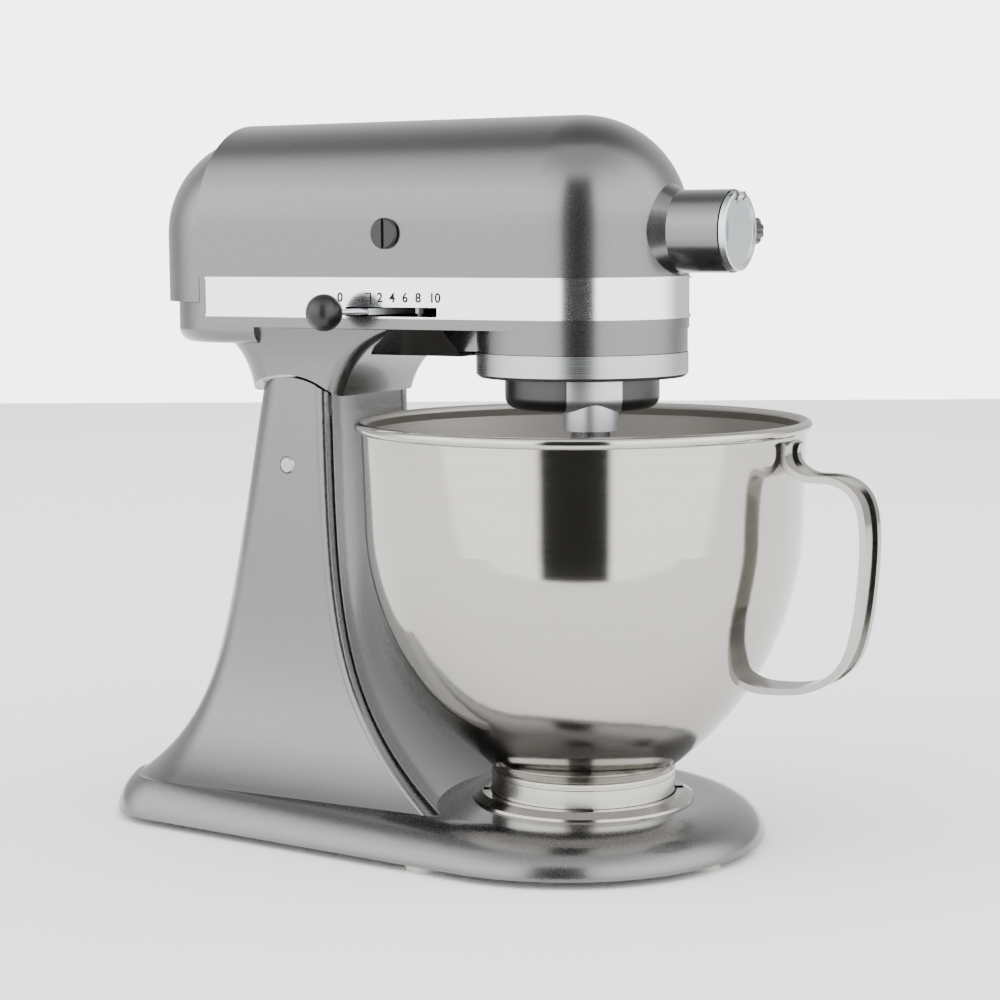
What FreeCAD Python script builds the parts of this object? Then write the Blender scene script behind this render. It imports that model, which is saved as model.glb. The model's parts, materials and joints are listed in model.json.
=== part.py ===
import FreeCAD, Part
import math
import os
import re
import Sketcher
from FreeCAD import Placement, Rotation, Vector

# Tilt-head stand mixer with a clamped bowl, an open gear train and a power hub.
# All sizes are millimetres. The bowl axis is the working origin; every finished
# piece is shifted forward by bowl_axis_x so the frame sits under the middle of the mixer.

os.makedirs("parts", exist_ok=True)
doc = FreeCAD.newDocument("stand_mixer")
sheet = doc.addObject("Spreadsheet::Sheet", "size")

SIZES = [
    # Overall layout
    ("bowl_axis_x", 47.5),
    ("table_lift", 4.0),
    ("fit_gap", 0.05),
    # Base plate and feet
    ("base_floor_z", 0.0), ("base_top_z", 18.0), ("base_roof", 6.0), ("base_wall", 8.0),
    ("base_front_x", -10.0), ("base_front_r", 99.0), ("base_rear_x", -206.0),
    ("base_rear_y", 46.0), ("base_rear_r", 39.5), ("base_crown", 28.0), ("base_heel_r", 26.0),
    ("base_heel_z", -2.4),
    ("foot_r", 10.0), ("foot_stem_r", 4.0), ("foot_stem_length", 5.0), ("foot_boss_r", 8.0),
    ("foot_front_x", 74.0), ("foot_front_y", 22.0), ("foot_mid_x", -40.0), ("foot_mid_y", 86.0),
    ("foot_rear_x", -216.0), ("foot_rear_y", 58.0), ("foot_boss_rise", 8.0),
    # Column
    ("column_top_z", 228.0), ("column_half_width", 39.0), ("column_wall", 6.0),
    ("column_front_x", -123.5), ("column_rear_x", -171.0), ("column_lean", 0.2),
    ("column_rear_flare", 22.5), ("column_side_flare", 36.4), ("column_toe_wrap", 11.5),
    ("column_toe_flare", 33.0), ("column_fade", 26.0), ("column_front_fade", 36.0),
    ("column_toe_fade", 28.0),
    ("column_hollow_z", 148.0), ("column_front_dish", 8.0), ("column_toe_dish", 16.0),
    ("column_bolt_r", 3.0), ("column_bolt_x", -180.0), ("column_bolt_y", 45.0),
    ("column_bolt_front_x", -110.0), ("column_bolt_front_y", 46.0),
    # Head hinge and lock
    ("pin_x", -148.0), ("pin_z", "=column_top_z - 48"), ("pin_r", 4.5), ("pin_half_length", 39.8),
    ("seam_r", 44.4), ("seam_gap", 1.4), ("tongue_half_width", 12.5), ("tongue_half_depth", 12.0),
    ("tongue_eye_r", 14.0), ("slot_side_gap", 0.8),
    ("lock_x", -150.0), ("lock_y", 26.0), ("lock_z", "=pin_z + 18"), ("lock_pocket_r", 18.0),
    ("lock_pocket_height", 7.0), ("lock_plate_height", 4.6), ("lock_arm_length", 27.0),
    ("lock_rest_deg", 25.0), ("lock_knob_r", 6.0), ("lock_pin_r", 2.5),
    # Head housings
    ("head_r", 52.0), ("dome_z", 300.0), ("band_r", 50.6), ("head_wall", 3.4),
    ("ledge_z", 250.0), ("band_low_z", 255.0), ("split_z", 265.0), ("band_top_z", 275.0),
    ("head_rear_x", -192.0), ("cover_r", 51.0), ("cover_x", -185.4), ("cover_dome_z", 296.0),
    ("cover_low_z", 262.0), ("cover_wall", 3.0), ("tail_low_z", 241.0), ("tail_r", 46.2),
    ("floor_top_z", 253.0), ("collar_r", 51.3), ("collar_low_z", 238.7),
    ("keel_low_z", 236.0), ("keel_half_width", 46.0), ("keel_low_half_width", 26.0), ("neck_flare", 58.0),
    ("neck_fade", 14.0),
    ("band_rear_x", -187.0), ("band_thickness", 1.3), ("band_lip", 0.7),
    # Hub
    ("hub_z", 296.0), ("hub_r", 19.5), ("hub_face_x", 80.0), ("hub_bore_r", 13.5), ("hub_bore_x", 65.0),
    ("hub_room_x", 60.0),
    ("hub_bush_r", 9.0), ("hub_bush_x", 46.5), ("hub_shaft_r", 6.0), ("hub_flare_r", 24.5),
    ("hub_flare_x", 54.0),
    ("hub_cover_r", 18.7), ("hub_cover_thick", 3.2), ("hub_hinge_z", 312.6), ("hub_hinge_x", 82.2),
    ("hub_knob_x", 70.0), ("hub_knob_r", 8.0), ("hub_knob_y", 28.0), ("hub_knob_length", 14.0),
    ("hub_screw_r", 3.0),
    # Speed lever
    ("lever_x", -77.0), ("lever_y", -24.0), ("lever_z", 258.3), ("lever_thick", 3.0), ("lever_width", 5.0),
    ("lever_length", 48.0), ("lever_rest_deg", -30.0), ("lever_slot_half", 26.0),
    ("lever_slot_height", 4.6),
    ("knob_r", 9.0), ("lever_pin_r", 2.5),
    # Motor
    ("motor_front_x", -98.0), ("motor_rear_x", -150.0), ("stator_r", 38.0), ("stator_bore_r", 26.0),
    ("core_r", 25.0), ("motor_shaft_r", 4.0), ("motor_tip_x", -17.0), ("motor_tail_x", -176.0),
    ("bearing_r", 9.0), ("front_bearing_x", -68.0), ("rear_bearing_x", -176.0), ("bearing_width", 6.0),
    ("bracket_r", 42.0), ("commutator_r", 11.0), ("commutator_front_x", -72.0),
    ("commutator_rear_x", -88.0),
    ("fan_x", -166.0), ("fan_width", 6.0), ("fan_r", 32.0), ("coil_length", 7.0), ("coil_inner_r", 28.0),
    ("coil_outer_r", 36.0),
    ("brush_x", -79.5), ("brush_cap_r", 7.5), ("brush_neck_r", 6.4), ("brush_hole_r", 6.5),
    # Gear train
    ("wheel_x", -34.0), ("wheel_y", 22.0), ("wheel_teeth", 34), ("wheel_module", 1.0), ("wheel_width", 6.0),
    ("wheel_shaft_r", 4.0), ("spur_module", 1.5), ("pinion_teeth", 14), ("center_teeth", 40),
    ("spur_low_z", 258.5), ("spur_width", 8.0), ("center_shaft_r", 7.0),
    ("worm_root_r", 4.0), ("worm_tip_r", 6.0), ("worm_front_x", -22.0), ("worm_rear_x", -46.0),
    ("bevel_gear_teeth", 20), ("bevel_pinion_teeth", 14), ("bevel_module", 2.0), ("bevel_face", 0.7),
    # Planetary drive
    ("ring_teeth", 48), ("planet_teeth", 16), ("planet_low_z", 231.0), ("planet_width", 6.5),
    ("ring_outer_r", 44.0), ("ring_low_z", 230.7), ("drip_r", 51.6), ("drip_low_z", 226.5),
    ("drip_inner_r", 48.0),
    ("beater_angle", -53.0), ("beater_offset", 24.0), ("carrier_r", 37.7), ("carrier_low_z", 211.0),
    ("carrier_top_z", 229.0), ("carrier_edge_r", 6.0), ("boss_r", 13.2), ("boss_low_z", 202.0),
    ("beater_shaft_r", 6.0), ("beater_low_z", 160.0), ("beater_pin_r", 2.0), ("beater_pin_z", 172.0),
    # Bowl and clamp plate
    ("bowl_low_z", 34.5), ("bowl_wall", 1.3),
    ("bowl_curve_x", -45.5), ("bowl_curve_z", 158.9), ("bowl_curve_r", 153.0), ("bowl_shoulder_z", 150.0),
    ("bowl_neck_r", 108.7), ("bowl_bead_z", 203.0), ("bowl_bead_r", 2.7),
    ("foot_flange", 1.93),
    ("foot_ring_r", "=bowl_curve_x + sqrt(bowl_curve_r^2 - (bowl_low_z - bowl_curve_z)^2) + foot_flange"),
    ("foot_ring_wall", 1.6), ("foot_ring_low_z", 16.4),
    ("lug_r", 1.4), ("lug_stand", 3.4), ("lug_reach", "=foot_ring_r + lug_stand"), ("lug_z", 18.2),
    ("plate_low_z", 14.8), ("plate_floor", 1.2), ("plate_top_z", 21.8), ("plate_lip", 1.8),
    ("plate_rim", 5.4),
    ("plate_lip_gap", 0.8), ("plate_lip_r", "=foot_ring_r + plate_lip_gap"),
    ("plate_ring_gap", 0.7), ("plate_ring_r", "=lug_reach + plate_ring_gap"),
    ("plate_r", "=plate_ring_r + plate_rim"),
    ("column_front_flare", "=column_toe_wrap - plate_r - column_front_x"),
    ("handle_width", 20.0), ("handle_thick", 3.2), ("handle_channel", 11.0),
    ("handle_stand", 40.8),
    ("handle_reach", "=max(bowl_neck_r; bowl_curve_x + bowl_curve_r) + handle_stand"),
]

for row, entry in enumerate(SIZES, start=1):
    sheet.set("A%d" % row, entry[0])
    sheet.set("B%d" % row, str(entry[1]))
    sheet.setAlias("B%d" % row, entry[0])
doc.recompute()

ALIAS = re.compile(r"\b[a-z]+(?:_[a-z]+)+\b")
X_AXIS = Vector(1, 0, 0)
Y_AXIS = Vector(0, 1, 0)
Z_AXIS = Vector(0, 0, 1)


def bound(text):
    """Expression text with every sheet alias written as a sheet reference."""
    return ALIAS.sub(lambda found: "size." + found.group(0), text)


def val(text):
    """Present value of an expression in sheet aliases."""
    return float(sheet.evalExpression(text))


def drive(item, prop, text):
    item.setExpression(prop, bound(text))


def place(item, x="0", y="0", z="0", turn=None):
    if turn is not None:
        item.Placement = Placement(Vector(0, 0, 0), turn)
    drive(item, "Placement.Base.x", x)
    drive(item, "Placement.Base.y", y)
    drive(item, "Placement.Base.z", z)


TURNS = {"z": None, "x": Rotation(Y_AXIS, 90), "y": Rotation(X_AXIS, -90)}


def cylinder(name, radius, height, x="0", y="0", z="0", axis="z"):
    item = doc.addObject("Part::Cylinder", name)
    drive(item, "Radius", radius)
    drive(item, "Height", height)
    place(item, x, y, z, TURNS[axis])
    return item


def cone(name, radius_a, radius_b, height, x="0", y="0", z="0", axis="z"):
    item = doc.addObject("Part::Cone", name)
    drive(item, "Radius1", radius_a)
    drive(item, "Radius2", radius_b)
    drive(item, "Height", height)
    place(item, x, y, z, TURNS[axis])
    return item


def sphere(name, radius, x="0", y="0", z="0"):
    item = doc.addObject("Part::Sphere", name)
    drive(item, "Radius", radius)
    place(item, x, y, z)
    return item


def box(name, x, y, z):
    """Box between pairs of expressions along the three axes."""
    item = doc.addObject("Part::Box", name)
    drive(item, "Length", "(%s) - (%s)" % (x[1], x[0]))
    drive(item, "Width", "(%s) - (%s)" % (y[1], y[0]))
    drive(item, "Height", "(%s) - (%s)" % (z[1], z[0]))
    place(item, x[0], y[0], z[0])
    return item


def fuse(name, items):
    item = doc.addObject("Part::MultiFuse", name)
    item.Shapes = items
    item.Refine = True
    return item


def group(name, items):
    item = doc.addObject("Part::Compound", name)
    item.Links = items
    return item


def cut(name, base, tools):
    item = doc.addObject("Part::Cut", name)
    item.Base = base
    item.Tool = tools[0] if len(tools) == 1 else fuse(name + "_tools", tools)
    return item


def common(name, items):
    item = doc.addObject("Part::MultiCommon", name)
    item.Shapes = items
    return item


def feature(name, shape):
    item = doc.addObject("Part::Feature", name)
    item.Shape = shape
    return item


def origin_plane(body, role):
    return [plane for plane in body.Origin.OriginFeatures if plane.Role == role][0]


def sketch(body, name, role, outlines, height=None):
    """Closed outlines; each corner is (x, y) or (x, y, radius, centre x, centre y, turn)."""
    item = body.newObject("Sketcher::SketchObject", name)
    item.AttachmentSupport = (origin_plane(body, role), [""])
    item.MapMode = "FlatFace"
    if height is not None:
        drive(item, "AttachmentOffset.Base.z", height)
    for outline in outlines:
        first = item.GeometryCount
        count = len(outline)
        for index, corner in enumerate(outline):
            start = Vector(val(corner[0]), val(corner[1]), 0)
            after = outline[(index + 1) % count]
            end = Vector(val(after[0]), val(after[1]), 0)
            if len(corner) == 2:
                item.addGeometry(Part.LineSegment(start, end), False)
            else:
                centre = Vector(val(corner[3]), val(corner[4]), 0)
                a, b = start - centre, end - centre
                low, high = math.atan2(a.y, a.x), math.atan2(b.y, b.x)
                if corner[5] < 0:
                    low, high = high, low
                circle = Part.Circle(centre, Z_AXIS, val(corner[2]))
                item.addGeometry(Part.ArcOfCircle(circle, low, high), False)
        for index, corner in enumerate(outline):
            this = first + index
            after = first + (index + 1) % count
            turned_back = len(corner) > 2 and corner[5] < 0
            next_corner = outline[(index + 1) % count]
            next_back = len(next_corner) > 2 and next_corner[5] < 0
            item.addConstraint(Sketcher.Constraint("Coincident", this, 1 if turned_back else 2,
                                                   after, 2 if next_back else 1))
            start_pos = 2 if turned_back else 1
            for label, axis, text in (("DistanceX", -2, corner[0]), ("DistanceY", -1, corner[1])):
                if text == "0":
                    item.addConstraint(Sketcher.Constraint("PointOnObject", this, start_pos, axis))
                else:
                    datum = Sketcher.Constraint(label, -1, 1, this, start_pos, val(text))
                    made = item.addConstraint(datum)
                    item.setExpression("Constraints[%d]" % made, bound(text))
            if len(corner) > 2:
                chord_x = abs(val(next_corner[0]) - val(corner[0]))
                chord_y = abs(val(next_corner[1]) - val(corner[1]))
                label, axis, text = ("DistanceX", -2, corner[3]) if chord_y > chord_x else ("DistanceY", -1,
                        corner[4])
                if text == "0":
                    item.addConstraint(Sketcher.Constraint("PointOnObject", this, 3, axis))
                else:
                    made = item.addConstraint(Sketcher.Constraint(label, -1, 1, this, 3, val(text)))
                    item.setExpression("Constraints[%d]" % made, bound(text))
    return item


def new_body(name):
    return doc.addObject("PartDesign::Body", name)


def pad(body, profile, length, reverse=False, kind="PartDesign::Pad"):
    item = body.newObject(kind, profile.Name + "_run")
    item.Profile = profile
    drive(item, "Length", length)
    item.Reversed = reverse
    return item


def revolve(body, profile, axis="V_Axis", degrees=360, kind="PartDesign::Revolution"):
    item = body.newObject(kind, profile.Name + "_turn")
    item.Profile = profile
    item.ReferenceAxis = (profile, [axis])
    item.Angle = degrees
    item.Midplane = degrees < 360
    return item


def turned(name, outline, axis="z"):
    """Body of revolution: (r, z) about Z, (x, r) about X, or (r, y) about Y."""
    body = new_body(name)
    role = "XY_Plane" if axis == "y" else "XZ_Plane"
    revolve(body, sketch(body, name + "_outline", role, [outline]), "H_Axis" if axis == "x" else "V_Axis")
    return body


def ring(low_r, high_r, low, high):
    """Rectangular outline of a ring."""
    return [(low_r, low), (high_r, low), (high_r, high), (low_r, high)]


def ring_x(low_r, high_r, low, high):
    return [(low, low_r), (high, low_r), (high, high_r), (low, high_r)]


PIECES = []


def publish(item, label, x="0", y="0", z="0", turn=None):
    item.Label = label
    if turn is not None:
        item.Placement = Placement(Vector(0, 0, 0), turn)
    drive(item, "Placement.Base.x", "bowl_axis_x + (%s)" % x)
    drive(item, "Placement.Base.y", y)
    drive(item, "Placement.Base.z", "table_lift + (%s)" % z)
    PIECES.append(item)
    return item


# Base plate: a rounded front arc drawn back to a narrower rounded heel
def base_outline(body, name, front_inset, heel_inset, height):
    item = body.newObject("Sketcher::SketchObject", name)
    item.AttachmentSupport = (origin_plane(body, "XY_Plane"), [""])
    item.MapMode = "FlatFace"
    drive(item, "AttachmentOffset.Base.z", height)
    front_r = "base_front_r - (%s)" % front_inset
    heel_r = "base_rear_r - (%s)" % heel_inset
    front, heel = val(front_r), val(heel_r)
    front_at = Vector(val("base_front_x"), 0, 0)
    heel_x, heel_y = val("base_rear_x"), val("base_rear_y")
    quarter = math.pi / 2
    arcs = [(front_at, front, -quarter, quarter),
            (Vector(heel_x, heel_y, 0), heel, quarter, 2 * quarter),
            (Vector(heel_x, -heel_y, 0), heel, 2 * quarter, 3 * quarter)]
    for centre, radius, low, high in arcs:
        item.addGeometry(Part.ArcOfCircle(Part.Circle(centre, Z_AXIS, radius), low, high), False)
    for first, second in ((0, 1), (1, 2), (2, 0)):
        item.addGeometry(Part.LineSegment(item.Geometry[first].EndPoint, item.Geometry[second].StartPoint),
                         False)
    for line, (first, second) in enumerate(((0, 1), (1, 2), (2, 0)), start=3):
        item.addConstraint(Sketcher.Constraint("Tangent", first, 2, line, 1))
        item.addConstraint(Sketcher.Constraint("Tangent", line, 2, second, 1))
    item.addConstraint(Sketcher.Constraint("PointOnObject", 0, 3, -1))
    datums = [("Radius", (0,), front_r), ("Radius", (1,), heel_r),
              ("Radius", (2,), heel_r), ("DistanceX", (-1, 1, 0, 3), "base_front_x"),
              ("DistanceX", (-1, 1, 1, 3), "base_rear_x"), ("DistanceY", (-1, 1, 1, 3), "base_rear_y"),
              ("DistanceX", (-1, 1, 2, 3), "base_rear_x"), ("DistanceY", (-1, 1, 2, 3), "-base_rear_y")]
    for kind, where, text in datums:
        made = item.addConstraint(Sketcher.Constraint(kind, *where, val(text)))
        item.setExpression("Constraints[%d]" % made, bound(text))
    return item


FEET = [("foot_front_x", "foot_front_y"), ("foot_mid_x", "foot_mid_y"), ("foot_rear_x", "foot_rear_y")]
FEET = [(x, sign + y) for x, y in FEET for sign in ("", "-")]
BOLTS = [("column_bolt_x", "column_bolt_y"), ("column_bolt_front_x", "column_bolt_front_y")]
BOLTS = [(x, sign + y) for x, y in BOLTS for sign in ("", "-")]

BASE_LEVELS = [0, 0.28, 0.5, 0.7, 0.84, 0.93, 0.98, 1]


def base_blank(name):
    """Solid form: the front edge rolls over in a quarter ellipse, the heel in part of a circle."""
    body = new_body(name)
    outlines = []
    for n, level in enumerate(BASE_LEVELS):
        height = "base_floor_z + %s * (base_top_z - base_floor_z)" % level
        crown = "base_crown * (1 - sqrt(1 - %s^2))" % level
        heel = "base_heel_r - sqrt(base_heel_r^2 - (%s - base_heel_z)^2)" % height
        outlines.append(base_outline(body, "%s_level_%d" % (name, n), crown, heel, height))
    loft = body.newObject("PartDesign::AdditiveLoft", name + "_loft")
    loft.Profile = outlines[0]
    loft.Sections = outlines[1:]
    return body


base_body = base_blank("base_body")
hollow = base_outline(base_body, "base_hollow", "base_crown / 2", "base_wall", "base_floor_z")
pad(base_body, hollow, "base_top_z - base_floor_z - base_roof", True, "PartDesign::Pocket")
BOSS_RISE = ["foot_boss_rise"] * 4 + ["base_top_z - base_floor_z - base_roof"] * 2
foot_bosses = [cylinder("foot_boss_%d" % n, "foot_boss_r", BOSS_RISE[n], x, y, "base_floor_z")
               for n, (x, y) in enumerate(FEET)]
base_holes = [cylinder("foot_hole_%d" % n, "foot_stem_r + fit_gap", "foot_stem_length + 1",
                       x, y, "base_floor_z - 1") for n, (x, y) in enumerate(FEET)]
base_holes += [cylinder("base_bolt_hole_%d" % n, "column_bolt_r + fit_gap", "base_top_z + 2",
                        x, y, "base_floor_z") for n, (x, y) in enumerate(BOLTS)]
SCREW_TURNS = [45 + 90 * n for n in range(4)]
PLATE_SCREWS = [("34 * cos(%d)" % a, "34 * sin(%d)" % a) for a in SCREW_TURNS]
base_holes += [cylinder("base_screw_hole_%d" % n, "2 + fit_gap", "base_top_z", x, y, "base_floor_z")
               for n, (x, y) in enumerate(PLATE_SCREWS)]
base_holes.append(cylinder("plate_recess", "plate_ring_r + 1 + fit_gap", "20", "0", "0", "plate_low_z"))
base_casting = cut("base_cut", fuse("base_solid", [base_body] + foot_bosses), base_holes)
publish(base_casting, "base_casting")

feet = []
for n, (x, y) in enumerate(FEET):
    pad_part = cone("foot_pad_%d" % n, "foot_r - 1", "foot_r", "table_lift", x, y,
                    "base_floor_z - table_lift")
    stem = cylinder("foot_stem_%d" % n, "foot_stem_r", "table_lift + foot_stem_length", x, y,
                    "base_floor_z - table_lift")
    feet.append(fuse("foot_%d" % n, [pad_part, stem]))
publish(group("feet_group", feet), "rubber_feet")


# Column: a leaning tapered post that fades into a wide heel
def column_wire(z, inset):
    rise = val("base_top_z") - z
    fade = math.exp(rise / val("column_fade"))
    toe_fade = math.exp(rise / val("column_toe_fade"))
    rear = val("column_rear_x - column_lean * column_top_z") + val("column_lean") * z
    rear += inset - val("column_rear_flare") * fade
    front_fade = math.exp(rise / val("column_front_fade"))
    front = val("column_front_x") + val("column_front_flare") * front_fade - inset
    rear_half = val("column_half_width") + val("column_side_flare") * fade - inset
    front_half = val("column_half_width") + val("column_toe_flare") * toe_fade - inset
    dish = val("column_front_dish") + val("column_toe_dish") * toe_fade
    r = 24 + 12 * fade - 0.5 * inset
    q = 7.0
    k = math.sqrt(0.5)
    slope = Vector(front - rear - r, front_half - rear_half, 0)
    slope.normalize()
    shoulder = Vector(front, front_half, 0) - slope * q
    points = [Vector(rear, -rear_half + r, z), Vector(rear, rear_half - r, z),
              Vector(rear + r, rear_half, z), Vector(shoulder.x, shoulder.y, z),
              Vector(front - 1, front_half - q, z), Vector(front - 1, q - front_half, z),
              Vector(shoulder.x, -shoulder.y, z), Vector(rear + r, -rear_half, z)]
    rear_mid = Vector(rear + r - r * k, rear_half - r + r * k, z)
    nose_mid = Vector(front - 0.4, front_half - 2.2, z)
    flip = Vector(1, -1, 1)

    def mirror(p):
        return Vector(p.x * flip.x, p.y * flip.y, p.z * flip.z)

    edges = [Part.makeLine(points[0], points[1]),
             Part.Arc(points[1], rear_mid, points[2]).toShape(),
             Part.makeLine(points[2], points[3]),
             Part.Arc(points[3], nose_mid, points[4]).toShape(),
             Part.Arc(points[4], Vector(front - dish, 0, z), points[5]).toShape(),
             Part.Arc(points[5], mirror(nose_mid), points[6]).toShape(),
             Part.makeLine(points[6], points[7]),
             Part.Arc(points[7], mirror(rear_mid), points[0]).toShape()]
    return Part.Wire(edges)


def column_loft(low, high, inset):
    steps = [0, 0.06, 0.13, 0.21, 0.3, 0.44, 0.62, 0.8, 1.0]
    return Part.makeLoft([column_wire(low + (high - low) * step, inset) for step in steps], True)


column_outer = feature("column_outer", column_loft(val("base_top_z"), val("column_top_z"), 0))
column_inner = feature("column_inner", column_loft(val("base_top_z"), val("column_hollow_z"),
                                                   val("column_wall")))
crown = cylinder("column_crown", "seam_r", "200", "pin_x", "-100", "pin_z", "y")
trunk = box("column_trunk", ("-300", "100"), ("-150", "150"), ("0", "pin_z + 12"))
column_solid = common("column_trimmed", [column_outer, fuse("column_keep", [crown, trunk])])
HEAD_TILT = 46
tongue_gap = "tongue_half_width + slot_side_gap"
slot_y = ("-(%s)" % tongue_gap, tongue_gap)
tilted_bar = box("tilted_bar", ("-tongue_half_depth - 1", "0"), slot_y, ("0", "column_top_z - pin_z + 20"))
tilted_slot = group("tilted_slot", [tilted_bar])
place(tilted_slot, "pin_x", "0", "pin_z", Rotation(Y_AXIS, -HEAD_TILT))
column_cuts = [
    column_inner,
    box("tongue_slot", ("pin_x - tongue_eye_r - 1", "pin_x + tongue_eye_r + 1"), slot_y,
        ("pin_z - tongue_eye_r - 1", "column_top_z + 10")),
    box("tongue_sweep", ("column_rear_x - 60", "pin_x"), slot_y, ("pin_z + 6", "column_top_z + 10")),
    tilted_slot,
    cylinder("column_pin_hole", "pin_r + fit_gap / 5", "200", "pin_x", "-100", "pin_z", "y"),
    cylinder("lock_pocket", "lock_pocket_r", "lock_pocket_height", "lock_x", "lock_y",
             "lock_z - lock_pocket_height / 2"),
    cylinder("lock_pin_hole", "lock_pin_r + fit_gap / 5", "20", "lock_x", "lock_y", "lock_z - 8"),
    cylinder("set_screw_hole", "2.5 + fit_gap", "60", "pin_x - 60", "25", "pin_z", "x"),
]
bolt_bosses = [cylinder("bolt_boss_%d" % n, "column_bolt_r + 5", "22", x, y, "base_top_z")
               for n, (x, y) in enumerate(BOLTS)]
bolt_taps = [cylinder("bolt_tap_%d" % n, "column_bolt_r + fit_gap", "17", x, y, "base_top_z - 1")
             for n, (x, y) in enumerate(BOLTS)]
column_shell = cut("column_shell", column_solid, column_cuts)
boss_shape = common("bosses_inside", [fuse("boss_all", bolt_bosses), column_outer])
column = cut("column_cut", fuse("column_joined", [column_shell, boss_shape]), bolt_taps)
publish(column, "column")

bolts = []
for n, (x, y) in enumerate(BOLTS):
    head = cylinder("bolt_head_%d" % n, "column_bolt_r + 2.5", "4", x, y, "base_top_z - base_roof - 4")
    stem = cylinder("bolt_stem_%d" % n, "column_bolt_r", "19", x, y, "base_top_z - base_roof - 4")
    bolts.append(fuse("bolt_%d" % n, [head, stem]))
publish(group("bolt_group", bolts), "column_bolts")

publish(turned("hinge_pin_body", [("0", "-pin_half_length"), ("pin_r - 1", "-pin_half_length"),
                                  ("pin_r", "-pin_half_length + 1"), ("pin_r", "pin_half_length - 1"),
                                  ("pin_r - 1", "pin_half_length"), ("0", "pin_half_length")], "y"),
        "hinge_pin", "pin_x", "0", "pin_z")
set_screw = cut("set_screw_body",
                cylinder("set_screw_stem", "2.5", "12", "pin_x - pin_r - 12.2", "25", "pin_z", "x"),
                [box("set_screw_slot", ("pin_x - 18", "pin_x - pin_r - 11.2"), ("24.6", "25.4"),
                     ("pin_z - 4", "pin_z + 4"))])
publish(set_screw, "pin_set_screw")
publish(cylinder("lock_pin_body", "lock_pin_r", "15"), "lock_pivot_pin", "lock_x", "lock_y", "lock_z - 7.8")

# Head lock: a flat cam on a short arm, thrown from the side of the column
lock_cam = fuse("lock_cam", [
    cylinder("lock_eye", "7", "lock_plate_height", "0", "0", "-lock_plate_height / 2"),
    box("lock_arm", ("-2.5", "2.5"), ("0", "lock_arm_length"), ("-lock_plate_height / 2",
                                                                "lock_plate_height / 2"))])
nose = box("lock_nose_bar", ("-2", "2"), ("-lock_pocket_r + 1.6", "0"),
           ("-lock_plate_height / 2", "lock_plate_height / 2"))
nose_turned = group("lock_nose", [nose])
nose_turned.Placement = Placement(Vector(0, 0, 0), Rotation(Z_AXIS, 50))
lock_lever = cut("lock_lever_body", fuse("lock_lever_solid", [lock_cam, nose_turned]),
                 [cylinder("lock_bore", "lock_pin_r + fit_gap", "10", "0", "0", "-5")])
publish(lock_lever, "lock_lever", "lock_x", "lock_y", "lock_z", Rotation(Z_AXIS, val("lock_rest_deg")))
lock_knob = cut("lock_knob_body", sphere("lock_ball", "lock_knob_r", "0", "lock_arm_length + 3"),
                [box("lock_knob_socket", ("-2.5", "2.5"), ("0", "lock_arm_length"),
                     ("-lock_plate_height / 2", "lock_plate_height / 2"))])
publish(lock_knob, "lock_knob", "lock_x", "lock_y", "lock_z", Rotation(Z_AXIS, val("lock_rest_deg")))

# Bowl clamp plate: four notches drop the bowl lugs under a turned lip
plate = turned("plate_body", [
    ("0", "plate_low_z"), ("plate_ring_r + 1", "plate_low_z"), ("plate_ring_r + 1", "base_top_z"),
    ("plate_r", "base_top_z"), ("plate_r - 0.4", "base_top_z + 1.2"), ("plate_r - 4.6", "plate_top_z"),
    ("plate_lip_r", "plate_top_z"), ("plate_lip_r", "plate_top_z - plate_lip"),
    ("plate_ring_r", "plate_top_z - plate_lip"), ("plate_ring_r", "plate_low_z + plate_floor"),
    ("0", "plate_low_z + plate_floor")])
NOTCH_TURNS = [30 + 90 * n for n in range(4)]
notches = []
for n, turn in enumerate(NOTCH_TURNS):
    notch = box("notch_bar_%d" % n, ("plate_lip_r - 6", "plate_ring_r"), ("-lug_r - 1.2", "lug_r + 1.2"),
                ("plate_low_z + plate_floor", "plate_top_z + 1"))
    notch_turned = group("notch_%d" % n, [notch])
    notch_turned.Placement = Placement(Vector(0, 0, 0), Rotation(Z_AXIS, turn))
    notches.append(notch_turned)
plate_holes = [cylinder("plate_hole_%d" % n, "2 + fit_gap", "10", x, y, "plate_low_z - 2")
               for n, (x, y) in enumerate(PLATE_SCREWS)]
publish(cut("plate_cut", plate, notches + plate_holes), "bowl_clamp_plate")
plate_screws = []
for n, (x, y) in enumerate(PLATE_SCREWS):
    stem = cylinder("plate_screw_stem_%d" % n, "2", "plate_floor + 4", x, y, "plate_low_z - 4")
    cap = cylinder("plate_screw_cap_%d" % n, "3.6", "1.6", x, y, "plate_low_z + plate_floor")
    slot = box("plate_screw_slot_%d" % n, (x + " - 4", x + " + 4"), (y + " - 0.4", y + " + 0.4"),
               ("plate_low_z + plate_floor + 0.8", "plate_low_z + plate_floor + 3"))
    plate_screws.append(cut("plate_screw_%d" % n, fuse("plate_screw_solid_%d" % n, [stem, cap]), [slot]))
publish(group("plate_screw_group", plate_screws), "clamp_plate_screws")


# Bowl: spun shell with a rolled rim on a lugged foot ring
def bowl_reach(inset, z):
    return "bowl_curve_x + sqrt((bowl_curve_r - %s)^2 - (%s - bowl_curve_z)^2)" % (inset, z)


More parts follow.
